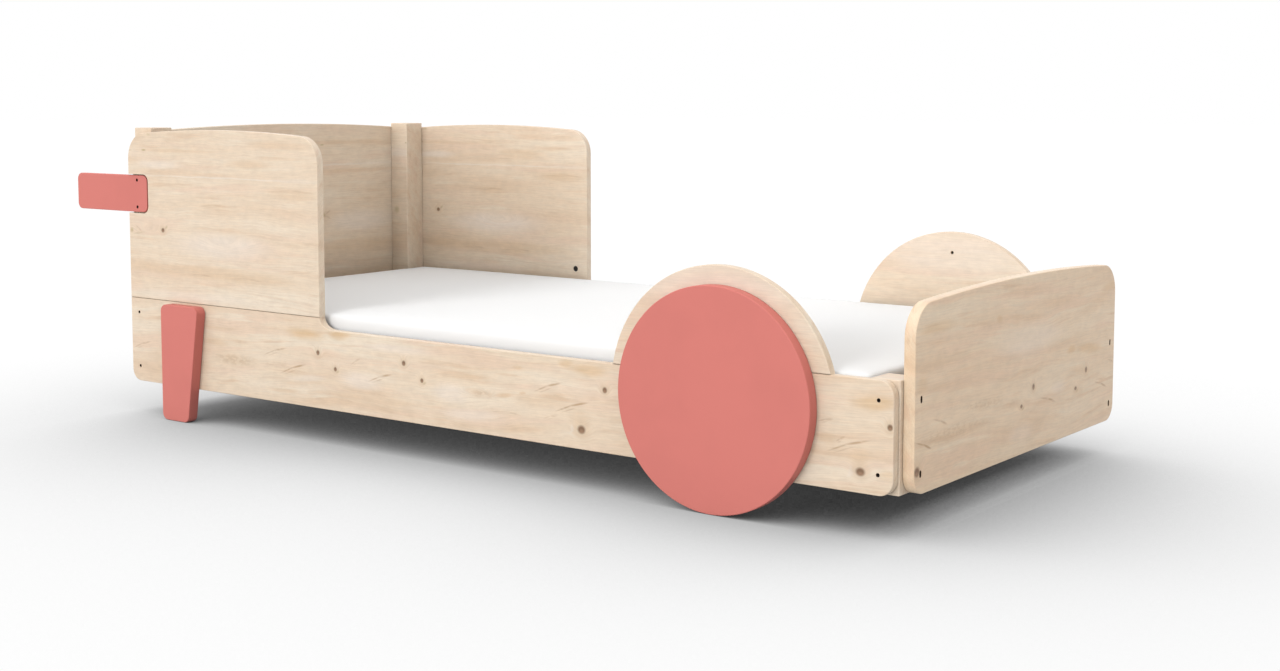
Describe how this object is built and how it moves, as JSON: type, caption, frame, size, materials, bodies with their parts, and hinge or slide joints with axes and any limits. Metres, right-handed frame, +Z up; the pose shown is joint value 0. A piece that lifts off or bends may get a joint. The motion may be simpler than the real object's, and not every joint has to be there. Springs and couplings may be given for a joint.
{
  "type": "kids bed",
  "caption": "Low wooden child's bed in the shape of a small vehicle, with arched cab panels, painted disc wheels, tapered legs, a slatted base and a loose mattress.",
  "frame": {"origin": "on the floor, under the middle of the whole bed's box", "axes": "+X along the bed from the head end to the foot end, +Y across the bed from the near rail to the far rail, +Z up"},
  "size_m": [2.2444, 0.992, 0.6728],
  "materials": {
    "pine": "satin clear coat over pale pine with fine grain and small knots",
    "coral_paint": "matte coral paint over wood",
    "dark_steel": "dark satin steel",
    "white_cloth": "plain white woven cover over foam"
  },
  "bodies": {
    "frame": {"side_rail_near": "pine", "side_rail_far": "pine", "cab_panel_near": "pine", "cab_panel_far": "pine", "wheel_guard_near": "pine", "wheel_guard_far": "pine", "head_post_near": "pine", "head_post_far": "pine", "foot_post_near": "pine", "foot_post_far": "pine", "head_panel": "pine", "foot_panel": "pine", "slat_ledger_near": "pine", "slat_ledger_far": "pine", "slat_01": "pine", "slat_02": "pine", "slat_03": "pine", "slat_04": "pine", "slat_05": "pine", "slat_06": "pine", "slat_07": "pine", "slat_08": "pine", "slat_09": "pine", "slat_10": "pine", "slat_11": "pine", "slat_12": "pine", "wheel_near": "coral_paint", "wheel_far": "coral_paint", "leg_near": "coral_paint", "leg_far": "coral_paint", "side_plate_near": "coral_paint", "side_plate_far": "coral_paint", "rail_bolt_near_head_lower": "dark_steel", "rail_bolt_far_head_lower": "dark_steel", "rail_bolt_near_head_upper": "dark_steel", "rail_bolt_far_head_upper": "dark_steel", "rail_bolt_near_foot_lower": "dark_steel", "rail_bolt_far_foot_lower": "dark_steel", "rail_bolt_near_foot_upper": "dark_steel", "rail_bolt_far_foot_upper": "dark_steel", "head_panel_bolt_near_lower": "dark_steel", "head_panel_bolt_far_lower": "dark_steel", "head_panel_bolt_near_upper": "dark_steel", "head_panel_bolt_far_upper": "dark_steel", "foot_panel_bolt_near_lower": "dark_steel", "foot_panel_bolt_far_lower": "dark_steel", "foot_panel_bolt_near_upper": "dark_steel", "foot_panel_bolt_far_upper": "dark_steel", "plate_bolt_near_lower": "dark_steel", "plate_bolt_far_lower": "dark_steel", "plate_bolt_near_upper": "dark_steel", "plate_bolt_far_upper": "dark_steel", "guard_screw_near": "dark_steel", "guard_screw_far": "dark_steel", "cab_cam_near": "dark_steel", "cab_cam_far": "dark_steel", "cab_cam_bolt_near": "dark_steel", "cab_cam_bolt_far": "dark_steel"},
    "mattress": {"mattress": "white_cloth"}
  },
  "joints": [
    {"name": "mattress_lift", "type": "slide", "parent": "frame", "child": "mattress", "axis": [0, 0, 1], "range_m": [0, 0.56]}
  ]
}
